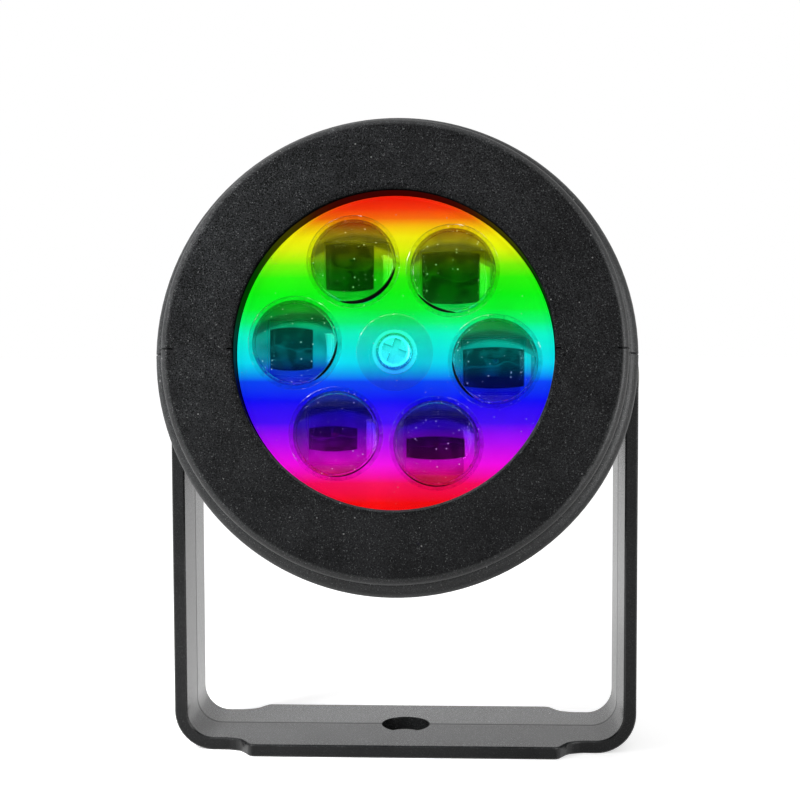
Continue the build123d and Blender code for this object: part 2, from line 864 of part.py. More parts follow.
def driver_coil():
    """The drum coil on the driver board."""
    top = driver_top + coil_height
    station = driver_front - coil_setback
    coil = column(coil_offset, station, coil_core_radius, driver_top, top)
    coil += column(coil_offset, station, coil_radius, driver_top, driver_top + coil_flange)
    return coil + column(coil_offset, station, coil_radius, top - coil_flange, top)


def driver_chips():
    """The two flat chips on the driver board."""
    chip = Box(chip_width, chip_thickness, chip_length)
    middle = driver_top + chip_thickness / 2
    stations = board_stations(chip_setback, chip_spacing)
    return [Pos(chip_offset, middle, station) * chip for station in stations]


def wire_sockets():
    """The two open-topped sockets that the inner wires plug into."""
    middle = driver_top + socket_height / 2
    block = Box(socket_width, socket_height, socket_length)
    inside = Box(
        socket_width - 2 * socket_wall, socket_height, socket_length - 2 * socket_wall
    )
    socket = block - Pos(Y=socket_wall) * inside
    x = driver_width / 2 - socket_inset
    stations = board_stations(socket_setback, socket_spacing)
    return [Pos(x, middle, station) * socket for station in stations]


def power_inlet():
    """The round power socket clamped in the rear wall, with its centre pin."""
    flange_back = rear_station - inlet_flange_thickness
    inlet = disc(inlet_flange_radius, flange_back, rear_station)
    inlet += disc(inlet_thread_radius, rear_station, rear_station + inlet_thread_length)
    bore_front = flange_back + inlet_bore_depth
    inlet -= disc(inlet_bore_radius, flange_back - overrun, bore_front)
    return inlet + disc(inlet_pin_radius, flange_back + inlet_flange_thickness / 2, bore_front)


def inlet_nut():
    """The nut that clamps the power socket from inside."""
    nut = hex_nut(
        inlet_nut_across_flats, inlet_thread_radius + thread_clearance, inlet_nut_thickness
    )
    return Pos(Z=rear_station + casing_wall) * nut


def foot_outline():
    """Half of the foot's plan, full width in the middle and flared in to the legs' width."""
    full = foot_width / 2
    narrow = leg_width / 2
    end = outer_half_width + overrun
    flare = [
        (foot_full_half_length, full),
        (foot_full_half_length + flare_steep_length, narrow + flare_shallow_depth),
        (foot_full_half_length + flare_length, narrow),
    ]
    front = [(x, -y) for x, y in flare]
    points = [(0, -full), *front, (end, -narrow), (end, narrow), *flare[::-1], (0, full)]
    face = make_face(Polyline(*points, close=True))
    rounds = (flare_outer_round, flare_inner_round, flare_end_round)
    for corner, radius in zip(front + flare, rounds + rounds):
        face = fillet(face.vertices().sort_by_distance(corner)[0], radius)
    return face


def foot_mask():
    """The foot's whole plan, tall enough to hold the plate."""
    right = extrude(foot_outline(), amount=outer_corner_radius)
    return right + mirror(right, about=Plane.YZ)


def leg_mask():
    """The side view of the legs, with round tops about the tilt axis."""
    half = leg_width / 2
    side = Pos(0, pivot_height / 2) * Rectangle(leg_width, pivot_height)
    side += Pos(0, pivot_height) * Circle(half)
    reach = outer_half_width + overrun
    return extrude(Plane.YZ * side, amount=reach, both=True)


def u_bracket():
    """The one-piece bracket: two legs on a foot, drafted both ways from its middle."""
    top = pivot_height + leg_width
    corner = outer_corner_radius
    block = Pos(0, top / 2) * Rectangle(2 * outer_half_width, top)
    block = fillet(block.vertices().group_by(Axis.Y)[0], corner)
    depth = foot_width / 2 + overrun
    bracket = extrude(Plane.XZ * block, amount=depth, both=True)
    hollow_top = top + overrun
    hollow_height = hollow_top - bracket_thickness
    hollow = Pos(0, bracket_thickness + hollow_height / 2) * Rectangle(2 * inner_half_width, hollow_height)
    hollow = fillet(hollow.vertices().group_by(Axis.Y)[0], corner - bracket_thickness)
    hollow_face = Plane.XZ * hollow
    front_hollow = extrude(hollow_face, amount=depth, taper=-draft_angle)
    bracket -= front_hollow
    bracket -= mirror(front_hollow, about=Plane.XZ)
    bracket &= foot_mask() + leg_mask()
    outline_edges = bracket.edges().filter_by(lambda edge: abs(edge.center().Y) > leg_width / 4)
    bracket = chamfer(outline_edges, bracket_edge_round)
    hole = Cylinder(pivot_screw_radius + pivot_clearance, 2 * (outer_half_width + overrun))
    bracket -= Pos(Z=pivot_height) * Rot(Y=right_angle) * hole
    return bracket - key_hole()


def key_hole():
    """The round hole in the foot, with the key on its front side."""
    bump = Pos(0, -key_bump_reach - key_bump_radius) * Circle(key_bump_radius)
    outline = Circle(key_hole_radius) - bump
    return Pos(Z=-overrun) * extrude(outline, amount=bracket_thickness + 2 * overrun)


def write(name, solids, place):
    """Write one named piece, or a group of like pieces, in its place."""
    if isinstance(solids, list):
        placed = Compound([place * solid for solid in solids])
    else:
        placed = place * solids
    export_step(placed, f"parts/{name}.step")


os.makedirs("parts", exist_ok=True)

write("u_bracket", u_bracket(), Pos())

for head_piece in (
    upper_shell,
    lower_shell,
    casing_screws,
    pivot_screws,
    pivot_nuts,
    friction_washers,
    diffuser,
    inner_frame,
    pattern_slides,
    gearbox,
    motor_can,
    motor_terminals,
    motor_screws,
    condenser_holder,
    condenser_lenses,
    spacers,
    led_board,
    leds,
    heat_sink,
    stack_screws,
    driver_board,
    driver_screws,
    capacitors,
    driver_coil,
    driver_chips,
    wire_sockets,
    power_inlet,
    inlet_nut,
    lens_plate,
    projection_lenses,
    shaft_hub,
    output_shaft,
    centre_washer,
    centre_screw,
):
    write(head_piece.__name__, head_piece(), in_bracket)
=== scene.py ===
"""Looks of the rotating projection lamp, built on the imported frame.

Metres, in the row frame: X to the right of someone who faces the lamp, Y away from them, Z up.
"""

import colorsys
import json
import math

import bpy
from mathutils import Color, Matrix, Vector

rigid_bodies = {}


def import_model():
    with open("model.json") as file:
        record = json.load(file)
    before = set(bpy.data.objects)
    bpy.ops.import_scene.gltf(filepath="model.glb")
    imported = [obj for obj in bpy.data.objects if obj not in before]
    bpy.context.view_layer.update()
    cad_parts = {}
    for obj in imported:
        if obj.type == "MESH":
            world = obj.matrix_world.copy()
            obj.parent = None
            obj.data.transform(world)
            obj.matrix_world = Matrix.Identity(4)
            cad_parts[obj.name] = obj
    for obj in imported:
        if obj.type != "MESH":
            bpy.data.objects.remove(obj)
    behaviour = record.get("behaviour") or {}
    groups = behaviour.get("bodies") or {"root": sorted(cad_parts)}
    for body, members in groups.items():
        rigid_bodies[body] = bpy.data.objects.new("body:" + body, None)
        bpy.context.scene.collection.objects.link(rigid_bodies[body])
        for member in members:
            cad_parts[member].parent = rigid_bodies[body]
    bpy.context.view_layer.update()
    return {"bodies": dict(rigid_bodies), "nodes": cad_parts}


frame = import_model()
nodes = frame["nodes"]
head_body = frame["bodies"]["head"]

MM = 0.001

# The head's own directions at rest
HEAD_TILT = math.radians(7.5)
PIVOT = Vector((0.0, 0.0, 89.8)) * MM
HEAD_FORWARD = Vector((0.0, -math.cos(HEAD_TILT), math.sin(HEAD_TILT)))
HEAD_UP = Vector((0.0, math.sin(HEAD_TILT), math.cos(HEAD_TILT)))
HEAD_RIGHT = Vector((1.0, 0.0, 0.0))
BRACKET_FORWARD = Vector((0.0, -1.0, 0.0))
UPWARD = Vector((0.0, 0.0, 1.0))

# Stations along the head's axis, from the pivot to the front
HEAD_FACE = 63.0 * MM       # face of the front ring
PLATE_FRONT = 56.5 * MM     # face of the lens plate
RING_BACK = 53.5 * MM       # where the front ring meets the shoulder
FRAME_FRONT = 48.5 * MM     # front of the inner frame
INNER_START = FRAME_FRONT - 6.0 * MM    # where the front of the head's inside starts
RIM_START = HEAD_FACE - 0.9 * MM        # where the rounded rim of the recess starts

# Radii and angles about the head's axis
RECESS_REACH = 33.0 * MM    # up to here the casing counts as the recess
LENS_CIRCLE = 20.45 * MM
LENS_NEAR = 9.8 * MM        # half the way from one lens to the next
LENS_EDGE = 8.65 * MM
FIRST_LENS_ANGLE = -5.4

# The dark window in each slide, from the first lens round: side and height of its middle and
# half its width and height in millimetres, how much glow is painted as light in it, and how much
# lower the bands of colour are taken there in millimetres
WINDOWS = (
    (0.0, -0.3, 4.5, 3.05, 0.95, 1.0),
    (-0.3, 0.05, 4.25, 3.9, 0.65, 1.9),
    (-1.0, 0.35, 3.55, 3.6, 0.60, 2.2),
    (-1.3, -0.15, 3.15, 3.2, 0.80, 2.3),
    (-1.0, -0.4, 3.55, 1.85, 1.2, 0.0),
    (-0.2, -0.4, 4.3, 1.7, 0.55, 0.0),
)
BAND_STRETCH = 0.75         # how much more the bands spread behind a lens

# Crescents of painted shade on the rims of the lenses, from the first lens round: the direction
# of the middle and the reach to either side in degrees, and the width in millimetres
CRESCENTS = (
    (-150, 30, 0.50),
    (-116, 30, 0.50),
    (-58, 50, 0.75),
    (-30, 32, 0.50),
    (-60, 40, 0.22),
    (-110, 40, 0.22),
)
CRESCENT_FADE = 0.12 * MM
DOME_FADE = 0.06 * MM

# How much glow is painted as light on what lies behind a lens, from its foot to its top: a painted
# reflection of the ceiling lamp makes a brighter band, and less light is painted in a dark arc near
# the top that bows down to the sides
LIT_LEVELS = (
    (0.04, 0.58),
    (0.30, 0.62),
    (0.62, 0.38),
    (0.74, 0.45),
    (0.79, 0.43),
    (0.83, 0.15),
    (0.91, 0.13),
    (0.96, 0.32),
)
LIT_REACH = 6.0 * MM        # half the height that the levels cover
LIT_BOW = 45.0              # bow of the dark arc, per metre
LIT_CLOUDS = (0.72, 1.18)

# The bright strip at the right behind each lens, a painted reflection of the tall lamp at the
# right:
# its sides, the fade at its top, its level
REFLECTION_STRIP = (3.7 * MM, 5.6 * MM)
REFLECTION_STRIP_FADE = 0.3 * MM
REFLECTION_STRIP_TOP = 3.2 * MM
REFLECTION_STRIP_LEVEL = 0.88

# Painted light in the windows: the dark and the pale clouds, and the wave line
WINDOW_CLOUDS = (0.050, 0.13)
WINDOW_BOW = 0.35 * MM      # how far the upper and lower sides bow
WINDOW_FADE = 0.08 * MM
WAVE_HEIGHT = 0.8 * MM
WAVE_WIDTH = 0.16 * MM
WAVE_LEVEL = 0.12

# The glow: hues in degrees from the top of the disc to its bottom
GLOW_RADIUS = 32.5 * MM
GLOW_SATURATION = 0.96
GLOW_VALUE = 0.95
GLOW_HUES = (
    (0.00, 2),
    (0.04, 11),
    (0.07, 24),
    (0.10, 47),
    (0.13, 58),
    (0.17, 66),
    (0.22, 93),
    (0.26, 112),
    (0.31, 121),
    (0.36, 128),
    (0.40, 145),
    (0.44, 168),
    (0.53, 186),
    (0.59, 226),
    (0.65, 240),
    (0.72, 254),
    (0.78, 280),
    (0.85, 304),
    (0.91, 340),
    (0.97, 359),
)

# Spans of a noise's value over which a tone changes
NOISE_SPAN = (0.3, 0.7)
CLOUD_SPAN = (0.35, 0.65)

# Moulded plastic
FLAT_SPAN = (0.90, 0.985)   # how straight a face looks forward to count as flat
PLASTIC_WARMTH = -0.04
PLASTIC_EDGE = 0.25 * MM    # radius of the softened edges
PLASTIC_ROUGHNESS = (-0.06, 0.08)       # spread round the plastic's roughness
PLASTIC_CLOUD = 7.0 * MM    # size of the clouds of tone
PLASTIC_TONES = (0.8, 1.2)  # spread of the tone over the clouds
PIT_SIZE = 2.2              # size of the pits, in grains
PIT_DEPTH = 0.6
GRAIN_SPAN = (0.38, 0.62)
GRAIN_TONES = (-0.75, 1.3)  # how much darker and lighter the grains are at full contrast
CALM_REACH = 40.0 * MM      # how far below the head's axis the grain is calmest
SPARK_SPAN = (0.64, 0.74)
SPARK_TONE = 0.10           # light grains
SPECK_TONE = 0.14           # light specks
SPECK_SIZE = 2.6 * MM
SPECK_RADIUS = 0.15 * MM
INNER_SHINE = 0.05          # specular level of the plastic inside the head

# Casing, with painted light and shade: how much paler the faces are that don't look forward, the
# underside and the recess, and the specular level, a painted sheen, of the faces to the front and
# of the others
CASING_SIDE_LIGHT = 1.6
CASING_UNDER_SHADE = 0.62
CASING_RECESS_SHADE = 0.15
CASING_SHINE = (0.03, 0.25)
UNDER_SPAN = (0.1, 0.6)     # how far a face looks down to count as the underside
RIM_SPAN = (0.1, 0.4)       # how far the rim looks up to get a painted highlight
RECESS_FADE = 0.5 * MM
RECESS_DEPTH = (0.1 * MM, 0.4 * MM)     # how deep behind the face its painted shade begins
RECESS_GLOW = 0.050         # share of the glow painted as light on the recess's wall
RECESS_EDGE = (PLATE_FRONT + 4.8 * MM, PLATE_FRONT + 6.1 * MM)  # where it fades at the face

# Bracket, with painted light: the same for its sides, for what lies behind its parting line and
# for its top faces
BRACKET_SIDE_LIGHT = 1.08
BRACKET_BACK_LIGHT = 1.5
BRACKET_TOP_LIGHT = 4.0
BRACKET_SHINE = (0.16, 0.34)
TOP_SPAN = (0.5, 0.9)       # how far a face looks up to count as a top face
BACK_FADE = 0.2 * MM
PARTING_LINE = (0.35 * MM, 0.75 * MM)
PARTING_SHADE = 0.6
PARTING_ROUGHNESS = 0.40
PARTING_DEPTH = 0.02 * MM

# Metals and smooth plastics
METAL_EDGE = 0.12 * MM
SKIN_DEPTH = 0.01 * MM
STAIN_SPAN = (0.4, 0.7)
STAIN_SHARE = 0.78
TONE_SHARES = (0.88, 1.12)  # spread of a smooth plastic's tone

# Clear plastic: smears, the finer dust against the coarser, and how white the dust is, whose glow
# is painted light
SMEAR_SPAN = (0.45, 0.8)
SMEAR_ROUGHNESS = 0.04
FINE_DUST = 0.7
FINE_DUST_SHARE = 0.6
DUST_SPAN = (0.60, 0.70)    # how straight a face looks forward to carry dust
DUST_WHITE = 0.30
STEEP_SPAN = (0.20, 0.25)
# Tone of the painted shade in the crescents on the lenses' rims
RIM_SHADE_TONE = 0.003

# Camera, fitted to the photograph's edges
CAMERA_PLACE = Vector((11.81, -320.30, 102.02)) * MM
CAMERA_YAW = -0.0406
CAMERA_PITCH = 0.0553
CAMERA_ROLL = -0.0032
SENSOR_WIDTH = 36.0
LENS = 58.56

# Floor and world
FLOOR_SIZE = 8.0
FLOOR_TONE = 0.86
FLOOR_LIFT = 0.58           # what the floor adds where it is seen, to come out white
HOLE_SHADOW_EDGE = (6.0 * MM, 9.0 * MM)    # round the painted shadow on the floor below the foot's hole
# Tone of the painted shadow below the foot's hole
HOLE_SHADOW_TONE = 0.03
WORLD_LIGHT = 0.60

# Lamps: place, width and height, radiance, and whether they show in reflections and on matt
# surfaces
LAMP_TARGET = Vector((0.0, -0.06, 0.10))
LAMPS = {
    "key": ((-0.17, -0.14, 0.19), (0.10, 0.10), 28.0, False, True),
    "ceiling": ((0.0, -0.42, 0.50), (0.70, 0.10), 2.2, True, True),
    "right_strip": ((0.20, -0.185, 0.11), (0.075, 0.21), 14.0, True, False),
    "left_strip": ((-0.17, -0.22, 0.11), (0.022, 0.20), 4.0, True, False),
}


def grey(level, warmth=0.0):
    return (level * (1 + warmth), level, level * (1 - warmth))


def glow_stop(position, hue):
    shade = Color(colorsys.hsv_to_rgb(hue / 360, GLOW_SATURATION, GLOW_VALUE))
    return position, tuple(shade.from_srgb_to_scene_linear())


class Nodes:
    """A node tree under construction, with short ways to add to it."""

    def __init__(self, tree):
        self.tree = tree
        self.tree.nodes.clear()

    def add(self, kind, values=None, **settings):
        node = self.tree.nodes.new(kind)
        for key, value in settings.items():
            setattr(node, key, value)
        for key, value in (values or {}).items():
            self.feed(node.inputs[key], value)
        return node

    def feed(self, socket, value):
        """Links a socket to another one, or sets it to a number, a colour or a vector."""
        if isinstance(value, bpy.types.NodeSocket):
            self.tree.links.new(value, socket)
        elif socket.type == "RGBA" and len(value) == 3:
            socket.default_value = (*value, 1.0)
        else:
            socket.default_value = value

    def maths(self, operation, a, b=0.0):
        return self.add("ShaderNodeMath", {0: a, 1: b}, operation=operation).outputs["Value"]

    def product(self, first, *others):
        for other in others:
            first = self.maths("MULTIPLY", first, other)
        return first

    def remainder(self, share):
        """What a share leaves of 1."""
        return self.maths("SUBTRACT", 1.0, share)

    def vectors(self, operation, a, b=None, scale=None, output="Vector"):
        node = self.add("ShaderNodeVectorMath", {0: a}, operation=operation)
        if b is not None:
            self.feed(node.inputs[1], b)
        if scale is not None:
            self.feed(node.inputs["Scale"], scale)
        return node.outputs[output]

    def length(self, vector):
        return self.vectors("LENGTH", vector, output="Value")

    def ranged(self, value, low, high, to_low=0.0, to_high=1.0, smooth=False):
        node = self.add(
            "ShaderNodeMapRange",
            {
                "Value": value,
                "From Min": low,
                "From Max": high,
                "To Min": to_low,
                "To Max": to_high,
            },
            interpolation_type="SMOOTHSTEP" if smooth else "LINEAR",
        )
        return node.outputs["Result"]

    def blend(self, share, low, high):
        """A number that goes from low to high as a share goes from 0 to 1."""
        return self.ranged(share, 0.0, 1.0, low, high)

    def varied(self, noise, low=0.0, high=1.0):
        """A number that follows a noise from low to high."""
        return self.ranged(noise, *NOISE_SPAN, low, high)


class Look(Nodes):
    """A material under construction around one Principled shader."""

    def __init__(self, name, **values):
        self.material = bpy.data.materials.new(name)
        self.material.use_nodes = True
        super().__init__(self.material.node_tree)
        self.shader = self.add("ShaderNodeBsdfPrincipled")
        self.output = self.add("ShaderNodeOutputMaterial", {"Surface": self.shader.outputs["BSDF"]})
        self.set(**values)
        self.texture = self.add("ShaderNodeTexCoord")
        self.place = self.texture.outputs["Object"]

    def set(self, **values):
        """Sets or links the shader's sockets, named in lower case with underscores."""
        for key, value in values.items():
            name = key.replace("_", " ").title().replace("Ior", "IOR")
            self.feed(self.shader.inputs[name], value)

    def overlay(self, share, other):
        """Replaces the look by another shader by a share."""
        surface = self.output.inputs["Surface"]
        shaders = {1: surface.links[0].from_socket, 2: other.outputs[0]}
        both = self.add("ShaderNodeMixShader", {0: share, **shaders})
        self.feed(surface, both.outputs["Shader"])

    # Textures

    def noise(self, size, detail=2.0, rough=0.5, place=None, distortion=0.0):
        node = self.add(
            "ShaderNodeTexNoise",
            {
                "Vector": place or self.place,
                "Scale": 1.0 / size,
                "Detail": detail,
                "Roughness": rough,
                "Distortion": distortion,
            },
        )
        return node.outputs["Fac"]

    def cells(self, size, feature="F1", place=None, jitter=1.0, flat=False):
        return self.add(
            "ShaderNodeTexVoronoi",
            {"Vector": place or self.place, "Scale": 1.0 / size, "Randomness": jitter},
            feature=feature,
            voronoi_dimensions="2D" if flat else "3D",
        )

    def specks(self, size, radius, share, place=None, flat=False):
        """Small round specks, one in some of the cells of a size."""
        found = self.cells(size, place=place, flat=flat)
        near = self.maths("LESS_THAN", found.outputs["Distance"], radius / size)
        parts = self.add("ShaderNodeSeparateColor", {"Color": found.outputs["Color"]})
        return self.product(near, self.maths("LESS_THAN", parts.outputs["Red"], share))

    # Places and directions

    def parts(self, vector):
        return self.add("ShaderNodeSeparateXYZ", {"Vector": vector}).outputs

    def along(self, direction, vector=None):
        """How far the place, or another vector, reaches along a direction."""
        return self.vectors("DOT_PRODUCT", vector or self.place, direction, output="Value")

    def facing(self, direction, low, high):
        """1 on faces that look along a direction, 0 on faces that turn away from it."""
        return self.ranged(self.along(direction, self.texture.outputs["Normal"]), low, high)

    def outside(self):
        """1 where a solid is met from outside, 0 from within."""
        return self.remainder(self.add("ShaderNodeNewGeometry").outputs["Backfacing"])

    def station(self):
        """How far the place lies before the pivot along the head's axis."""
        return self.maths("SUBTRACT", self.along(HEAD_FORWARD), PIVOT.dot(HEAD_FORWARD))

    def height(self, place=None):
        """How far the place, or another one, lies above the head's axis."""
        return self.maths("SUBTRACT", self.along(HEAD_UP, place), PIVOT.dot(HEAD_UP))

    def face_place(self, height):
        """The place seen straight from the head's front, with a height, as a flat vector."""
        node = self.add("ShaderNodeCombineXYZ", {"X": self.along(HEAD_RIGHT), "Y": height})
        return node.outputs["Vector"]

    # Colours and normals

    def mixed(self, share, a, b, blend="MIX"):
        values = {"Factor": share, 6: a, 7: b}
        return self.add("ShaderNodeMix", values, data_type="RGBA", blend_type=blend).outputs[2]

    def ramp(self, share, stops):
        """A colour that runs through stops as a share grows."""
        node = self.add("ShaderNodeValToRGB", {"Fac": share})
        elements = node.color_ramp.elements
        while len(elements) < len(stops):
            elements.new(1.0)
        for element, (position, colour) in zip(elements, stops):
            element.position = position
            element.color = (*colour, 1.0)
        return node.outputs["Color"]

    def glow_colour(self, shift=0.0):
        """The rainbow that stays upright in the head, whatever turns in front of it."""
        place = self.add("ShaderNodeTexCoord", object=head_body).outputs["Object"]
        height = self.maths("ADD", self.height(place), shift)
        share = self.ranged(height, GLOW_RADIUS, -GLOW_RADIUS)
        return self.ramp(share, [glow_stop(*row) for row in GLOW_HUES])

    def bump(self, height, depth, strength=1.0, normal=None):
        values = {"Height": height, "Distance": depth, "Strength": strength}
        if normal is not None:
            values["Normal"] = normal
        return self.add("ShaderNodeBump", values).outputs["Normal"]

    def softened(self, radius):
        """The normal with the solids' sharp edges rounded by a radius."""
        return self.add("ShaderNodeBevel", {"Radius": radius}, samples=4).outputs["Normal"]


class Moulded(Look):
    """Black plastic from a spark-eroded mould, with light specks and soft edges."""

    def __init__(self, name, level, roughness, grain, contrast, speck_share=0.3, calm_foot=None):
        """With calm_foot the grain fades by that share to the foot of the head."""
        super().__init__(name)
        fine = self.noise(grain, detail=2.0, rough=0.6, distortion=0.8)
        pits = self.cells(grain * PIT_SIZE, feature="SMOOTH_F1").outputs["Distance"]
        self.skin = self.maths("ADD", fine, self.product(pits, PIT_DEPTH))
        self.rough = self.varied(fine, *(roughness + change for change in PLASTIC_ROUGHNESS))
        self.normal = self.softened(PLASTIC_EDGE)

        cloud = self.ranged(self.noise(PLASTIC_CLOUD, detail=3.0), *CLOUD_SPAN)
        tones = (grey(level * share, PLASTIC_WARMTH) for share in PLASTIC_TONES)
        tone = self.mixed(cloud, *tones)
        tones = (grey(1 + change * contrast) for change in GRAIN_TONES)
        grains = self.mixed(self.ranged(fine, *GRAIN_SPAN), *tones)
        if calm_foot is not None:
            calm = self.ranged(self.height(), -CALM_REACH, 0.0, calm_foot, 1.0)
            grains = self.mixed(calm, grey(1.0), grains)
        tone = self.mixed(1.0, tone, grains, blend="MULTIPLY")
        spark = self.ranged(fine, *SPARK_SPAN, 0.0, contrast)
        tone = self.mixed(spark, tone, grey(SPARK_TONE))
        speck = self.specks(SPECK_SIZE, SPECK_RADIUS, speck_share)
        self.tone = self.mixed(speck, tone, grey(SPECK_TONE))

    def dress(self, depth, painted_light=None, shine=INNER_SHINE):
        """Hands everything to the shader, with a depth of grain, a gain of tone that paints light
        and shade, and a shine.
        """
        tone = self.tone if painted_light is None else self.vectors("SCALE", self.tone, scale=painted_light)
        self.set(
            base_color=tone,
            specular_ior_level=shine,
            roughness=self.rough,
            normal=self.bump(self.skin, depth, normal=self.normal),
        )


def recess(look):
    """1 in the front of the head's inside, 0 elsewhere and where the rim faces up to the light,
    which is a painted highlight.
    """
    side = look.along(HEAD_RIGHT)
    squares = (look.maths("POWER", value, 2.0) for value in (side, look.height()))
    away = look.maths("SQRT", look.maths("ADD", *squares))
    near = look.ranged(away, RECESS_REACH, RECESS_REACH + RECESS_FADE, 1.0, 0.0)
    station = look.station()
    in_front = look.ranged(station, INNER_START, INNER_START + 1.0 * MM)
    on_rim = look.ranged(station, RIM_START, RIM_START + 0.3 * MM)
    # Painted highlight: where the rim faces up it is left out, so it is painted paler and glossier
    lit_rim = look.product(on_rim, look.facing(HEAD_UP, *RIM_SPAN))
    return look.product(near, in_front, look.remainder(lit_rim))


def casing_plastic():
    """The head's plastic: fine grain on flat faces, smoother on the rounded edges.

    Faces that don't look forward are painted paler and glossier, the underside and the recess
    darker, as painted light and shade. The wall of the recess shows some of the glow as painted
    light, up to a dark edge at the face.
    """
    look = Moulded(
        "casing_plastic",
        level=0.0084,
        roughness=0.44,
        grain=0.25 * MM,
        contrast=1.1,
        calm_foot=0.6,
    )
    inside = recess(look)
    station = look.station()
    on_ring = look.ranged(station, RING_BACK + 1.0 * MM, RING_BACK + 2.0 * MM)
    flat = look.product(look.facing(HEAD_FORWARD, *FLAT_SPAN), on_ring)
    flat = look.maths("MAXIMUM", flat, inside)
    # Painted shade: faces that look down are darker and less glossy
    under_shade = look.blend(look.facing(-HEAD_UP, *UNDER_SPAN), 1.0, CASING_UNDER_SHADE)
    # Painted shade: the recess is darker from a little behind the face inwards
    recess_shade = look.ranged(station, *(HEAD_FACE - depth for depth in RECESS_DEPTH))
    recess_shade = look.blend(look.product(recess_shade, inside), 1.0, CASING_RECESS_SHADE)
    # Painted light and sheen: faces that don't look forward are paler and glossier, and the recess
    # has no shine, as painted shade
    front_shine, side_shine = CASING_SHINE
    shine = look.blend(flat, side_shine, front_shine)
    look.dress(
        depth=0.04 * MM,
        painted_light=look.product(look.blend(flat, CASING_SIDE_LIGHT, 1.0), under_shade, recess_shade),
        shine=look.product(shine, look.remainder(inside), under_shade),
    )
    # Painted light: the glow that falls on the recess's wall is emission
    lit = look.ranged(station, *RECESS_EDGE, RECESS_GLOW, 0.0, smooth=True)
    open_wall = look.ranged(station, PLATE_FRONT - 3.0 * MM, PLATE_FRONT - 2.0 * MM)
    look.set(
        emission_color=look.glow_colour(),
        emission_strength=look.product(lit, open_wall, inside),
    )
    return look


def bracket_plastic():
    """The bracket's plastic, with a parting line in the middle of its width, and painted light."""
    look = Moulded(
        "bracket_plastic",
        level=0.007,
        roughness=0.24,
        grain=0.26 * MM,
        contrast=0.35,
        speck_share=0.08,
    )
    forward = look.along(BRACKET_FORWARD)
    flat = look.facing(BRACKET_FORWARD, *FLAT_SPAN)
    groove = look.ranged(look.maths("ABSOLUTE", forward), *PARTING_LINE)
    # Painted light: behind the parting line the bracket is lighter and glossier
    back_half_light = look.ranged(forward, BACK_FADE, -BACK_FADE, 1.0, BRACKET_BACK_LIGHT)
    back_half_light = look.product(back_half_light, look.blend(groove, PARTING_SHADE, 1.0))
    # Painted light: faces that look up are lighter
    top_light = look.blend(look.facing(UPWARD, *TOP_SPAN), 1.0, BRACKET_TOP_LIGHT)
    look.rough = look.maths("MAXIMUM", look.rough, look.blend(groove, PARTING_ROUGHNESS, 0.0))
    look.normal = look.bump(groove, PARTING_DEPTH, normal=look.normal)
    # Painted light and sheen: faces that don't look forward are a little paler and glossier
    front_shine, side_shine = BRACKET_SHINE
    look.dress(
        depth=0.008 * MM,
        painted_light=look.product(look.blend(flat, BRACKET_SIDE_LIGHT, 1.0), back_half_light, top_light),
        shine=look.product(look.blend(flat, side_shine, front_shine), back_half_light),
    )
    return look


def inner_plastic(name, level):
    """Black plastic inside the head."""
    look = Moulded(name, level=level, roughness=0.50, grain=0.30 * MM, contrast=0.4)
    look.dress(depth=0.015 * MM)
    return look


def lens_steps(look):
    """For each lens: the step from its middle, its length, and 1 where it is the near lens."""
    place = look.face_place(look.height())
    for n in range(len(WINDOWS)):
        angle = math.radians(FIRST_LENS_ANGLE + 60 * n)
        centre = (LENS_CIRCLE * math.cos(angle), LENS_CIRCLE * math.sin(angle), 0.0)
        step = look.vectors("SUBTRACT", place, centre)
        length = look.length(step)
        yield step, length, look.maths("LESS_THAN", length, LENS_NEAR)


def behind_lens(look):
    """Where a place lies behind its own lens, its window's middle and drop, and size and share."""
    sums = None
    for (step, _, near), window in zip(lens_steps(look), WINDOWS):
        across, up, half_width, half_height, share, drop = window
        rows = (
            step,
            (across * MM, up * MM, drop * MM),
            (half_width * MM, half_height * MM, share),
        )
        found = [look.vectors("SCALE", row, scale=near) for row in rows]
        if sums is None:
            sums = found
        else:
            sums = [look.vectors("ADD", old, new) for old, new in zip(sums, found)]
    return sums


def band_shift(look, away, middle):
    """How far the bands of colour look shifted behind a lens, which spreads them."""
    spread = look.product(look.parts(away)["Y"], BAND_STRETCH)
    return look.maths("SUBTRACT", spread, look.parts(middle)["Z"])


def crescents(look):
    """1 in the crescents of painted shade on the rims of the lenses."""
    mask = 0.0
    for (step, length, near), (middle, reach, width) in zip(lens_steps(look), CRESCENTS):
        middle = math.radians(middle)
        lean = look.along((math.cos(middle), math.sin(middle), 0.0), step)
        lean = look.maths("DIVIDE", lean, length)
        taper = look.maths("SQRT", look.ranged(lean, math.cos(math.radians(reach)), 1.0))
        past = look.maths("ADD", length, look.product(taper, width * MM))
        dark = look.ranged(past, LENS_EDGE, LENS_EDGE + CRESCENT_FADE)
        dome = look.ranged(length, LENS_EDGE + CRESCENT_FADE, LENS_EDGE + DOME_FADE)
        mask = look.maths("MAXIMUM", mask, look.product(dark, dome, near))
    return look.product(mask, look.outside())


